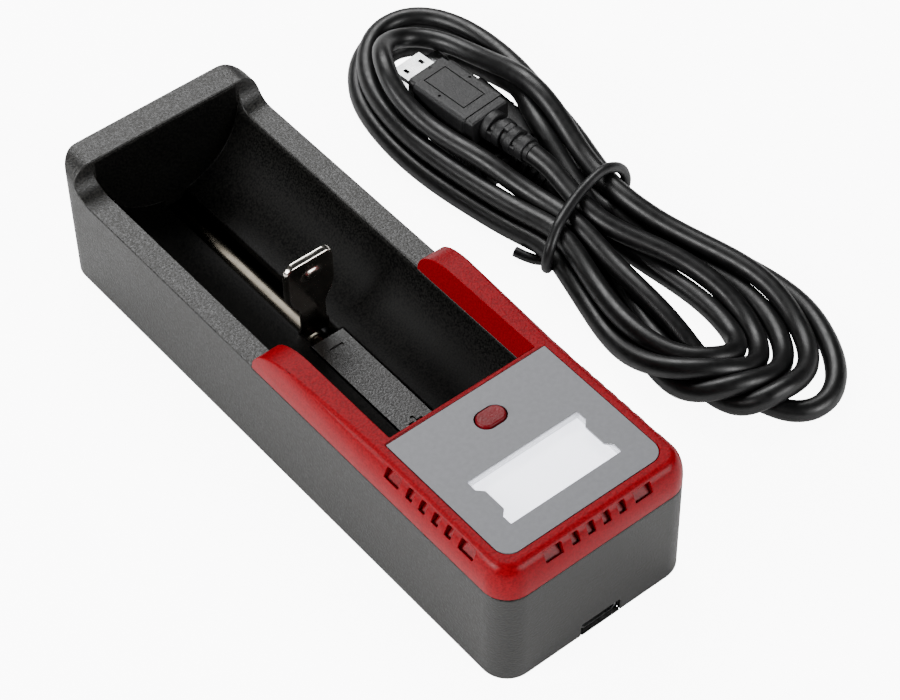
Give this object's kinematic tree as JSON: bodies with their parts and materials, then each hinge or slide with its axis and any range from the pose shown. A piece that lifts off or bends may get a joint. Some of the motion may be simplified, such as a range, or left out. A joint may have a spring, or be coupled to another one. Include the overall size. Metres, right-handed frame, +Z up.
{
  "type": "single-bay battery charger",
  "caption": "Compact USB charger with one half-round bay for a cylindrical lithium cell, a spring-loaded sliding contact, a display and button, and its tied USB lead.",
  "frame": {"origin": "under the middle of the charger's box, on the surface it stands on", "axes": "+X across the charger towards its lead, +Y along it from the display end to the tall end wall, +Z up"},
  "size_m": [0.0938, 0.1351, 0.0282],
  "materials": {
    "black_abs": "fine spark-eroded texture",
    "red_abs": "satin red, fine texture on the upper faces",
    "panel_print": "satin grey print",
    "clear_window": "clear acrylic",
    "lcd_face": "pale display face",
    "white_plastic": "smooth white",
    "nickel": "bright nickel plate",
    "steel": "zinc-plated or stamped",
    "circuit_board": "green solder resist",
    "chip_epoxy": "moulded epoxy",
    "capacitor_sleeve": "shrunk sleeve",
    "gold_pins": "plated pins",
    "foot_rubber": "soft black pads",
    "sled_acetal": "moulded acetal",
    "lead_pvc": "soft black sheath, satin",
    "plug_pvc": "moulded black plug",
    "button_red": "satin red"
  },
  "bodies": {
    "charger": {"lower_housing": "black_abs", "bottom_cover": "black_abs", "top_cover": "red_abs", "display_panel": "panel_print", "display_window": "clear_window", "lcd_frame": "white_plastic", "lcd_glass": "lcd_face", "backlight_panel": "white_plastic", "display_board": "circuit_board", "board_screws": "steel", "pin_header": "gold_pins", "main_board": "circuit_board", "usb_socket_shell": "steel", "usb_socket_tongue": "chip_epoxy", "controller_chip": "chip_epoxy", "charge_chip": "chip_epoxy", "inductor": "chip_epoxy", "capacitors": "capacitor_sleeve", "chip_resistors": "chip_epoxy", "schottky_diode": "chip_epoxy", "tact_switch": "white_plastic", "positive_contact": "nickel", "slot_cover_plate": "black_abs", "guide_rail": "nickel", "rail_rivets": "steel", "negative_wire": "lead_pvc", "case_screws": "steel", "rubber_feet": "foot_rubber", "slider_spring": "steel"},
    "slider": {"slider_carriage": "sled_acetal", "negative_contact": "nickel"},
    "button": {"button_cap": "button_red", "tact_plunger": "chip_epoxy"},
    "usb_lead": {"lead_hank": "lead_pvc", "micro_plug_shell": "steel", "micro_plug_insert": "chip_epoxy", "micro_plug_body": "plug_pvc", "micro_strain_relief": "plug_pvc", "usb_a_shell": "steel", "usb_a_insert": "white_plastic", "usb_a_contacts": "gold_pins", "usb_a_body": "plug_pvc", "usb_a_strain_relief": "plug_pvc", "twist_tie": "lead_pvc"}
  },
  "joints": [
    {"name": "slider_slide", "type": "slide", "parent": "charger", "child": "slider", "axis": [0, 1, 0], "range_m": [0, 0.039], "stiffness_N_per_m": 45, "springref_m": -0.025, "deforming": ["slider_spring"]},
    {"name": "button_press", "type": "slide", "parent": "charger", "child": "button", "axis": [0, 0, -1], "range_m": [0, 0.0004], "stiffness_N_per_m": 900, "springref_m": -0.0002},
    {"name": "lead_lift", "type": "slide", "parent": "charger", "child": "usb_lead", "axis": [0, 0, 1], "range_m": [0, 0.03]}
  ]
}
